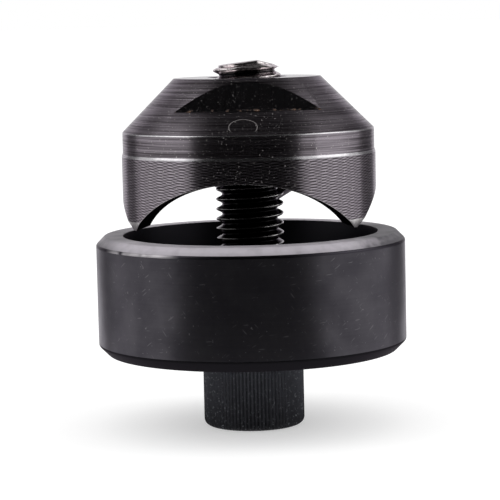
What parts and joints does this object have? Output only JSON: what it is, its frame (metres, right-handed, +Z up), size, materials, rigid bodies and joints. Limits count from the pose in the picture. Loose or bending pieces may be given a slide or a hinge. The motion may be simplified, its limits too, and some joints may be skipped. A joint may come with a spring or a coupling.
{
  "type": "knockout punch",
  "caption": "Knockout punch set: a toothed steel punch drawn into a cup-shaped die by a socket-head screw, for cutting round holes in sheet metal.",
  "frame": {"origin": "centre of the screw head's lower face, on which the set stands", "axes": "+Z up along the screw's axis, towards the punch; the front wrench flat faces -Y"},
  "size_m": [0.055, 0.055, 0.065],
  "materials": {
    "punch_steel": "blackened, turned and milled, bare and bright on worn edges",
    "die_steel": "satin black oxide",
    "screw_steel": "matt black oxide, knurled head",
    "washer_steel": "ground and blackened"
  },
  "bodies": {
    "die": {"die": "die_steel"},
    "screw": {"draw_screw": "screw_steel", "thrust_washer": "washer_steel"},
    "punch": {"punch": "punch_steel"}
  },
  "joints": [
    {"name": "screw_turn", "type": "hinge", "parent": "die", "child": "screw", "pos_m": [0, 0, 0.0135], "axis": [0, 0, 1], "range_deg": [-3605, 2525]},
    {"name": "punch_draw", "type": "slide", "parent": "die", "child": "punch", "axis": [0, 0, -1], "range_m": [-0.0175, 0.01225]}
  ],
  "couplings": [
    {"joint": "screw_turn", "follows": "punch_draw", "rad_per_m": 3590.4}
  ]
}
